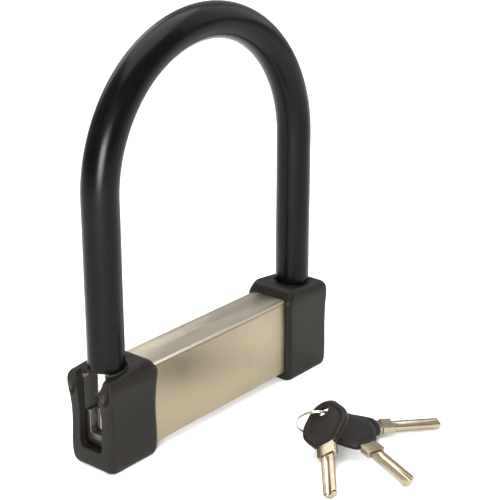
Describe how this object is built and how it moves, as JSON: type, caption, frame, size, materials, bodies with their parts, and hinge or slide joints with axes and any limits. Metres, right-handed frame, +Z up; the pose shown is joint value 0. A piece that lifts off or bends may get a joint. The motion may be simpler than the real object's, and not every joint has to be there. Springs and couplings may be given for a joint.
{
  "type": "u lock",
  "caption": "Shackle lock: a sleeved steel shackle plugs into a rectangular steel crossbar with black end caps, with its keys on a ring.",
  "frame": {"origin": "centre of the keyhole's mouth, on the crossbar's underside; the end caps stand 4.9 mm below it", "axes": "+X along the crossbar towards the right leg, +Z up the shackle's legs, front at -Y; the keyhole looks down, along -Z"},
  "size_m": [0.1932, 0.1621, 0.2425],
  "materials": {
    "stainless": "brushed",
    "cap_plastic": "satin",
    "black_rubber": "matte",
    "mill_steel": "milled",
    "screw_steel": "satin",
    "zinc": "cast",
    "brass": "machined",
    "disc_brass": "stamped",
    "hard_steel": "ground",
    "foot_steel": "bright turned",
    "sleeve_vinyl": "semi-gloss",
    "cover_plastic": "satin",
    "ring_nickel": "bright",
    "key_plastic": "satin",
    "key_nickel": "nickel silver"
  },
  "bodies": {
    "lock_bar": {"housing_tube": "stainless", "left_end_cap": "cap_plastic", "right_end_cap": "cap_plastic", "left_leg_guide": "black_rubber", "right_leg_guide": "black_rubber", "left_socket_block": "mill_steel", "right_socket_block": "mill_steel", "end_screws": "screw_steel", "lock_chassis": "zinc", "chassis_screws": "screw_steel", "mechanism_cover": "mill_steel", "cover_screws": "screw_steel", "cylinder_housing": "brass", "keyhole_bezel": "stainless", "cover_rivet": "stainless"},
    "cylinder_core": {"cylinder_plug": "brass", "drill_guard_disc": "hard_steel", "detainer_discs": "disc_brass", "spacer_washers": "disc_brass", "sidebar": "hard_steel", "plug_circlip": "screw_steel", "drive_pinion": "hard_steel"},
    "left_bolt": {"left_fork_bolt": "hard_steel"},
    "right_bolt": {"right_fork_bolt": "hard_steel"},
    "shackle": {"shackle_bar": "foot_steel", "shackle_sleeve": "sleeve_vinyl"},
    "dust_cover": {"keyhole_cover": "cover_plastic"},
    "key_bunch": {"split_ring": "ring_nickel", "front_key_head": "key_plastic", "front_key_blade": "key_nickel", "middle_key_head": "key_plastic", "middle_key_blade": "key_nickel", "back_key_head": "key_plastic", "back_key_blade": "key_nickel"}
  },
  "joints": [
    {"name": "shackle_slide", "type": "slide", "parent": "lock_bar", "child": "shackle", "axis": [0, 0, 1], "range_m": [0, 0.06]},
    {"name": "plug_turn", "type": "hinge", "parent": "lock_bar", "child": "cylinder_core", "pos_m": [0, 0, 0], "axis": [0, 0, 1], "range_deg": [0, 90]},
    {"name": "left_bolt_slide", "type": "slide", "parent": "lock_bar", "child": "left_bolt", "axis": [-1, 0, 0], "range_m": [0, 0.00943]},
    {"name": "right_bolt_slide", "type": "slide", "parent": "lock_bar", "child": "right_bolt", "axis": [1, 0, 0], "range_m": [0, 0.00942]},
    {"name": "cover_swing", "type": "hinge", "parent": "lock_bar", "child": "dust_cover", "pos_m": [0.014, 0, -0.0009], "axis": [0, 0, 1], "range_deg": [0, 110]},
    {"name": "keys_lift", "type": "slide", "parent": "lock_bar", "child": "key_bunch", "axis": [0, 0, 1], "range_m": [0, 0.05]}
  ],
  "couplings": [
    {"joint": "plug_turn", "follows": "right_bolt_slide", "rad_per_m": 166.67},
    {"joint": "left_bolt_slide", "follows": "right_bolt_slide", "ratio": 1}
  ]
}
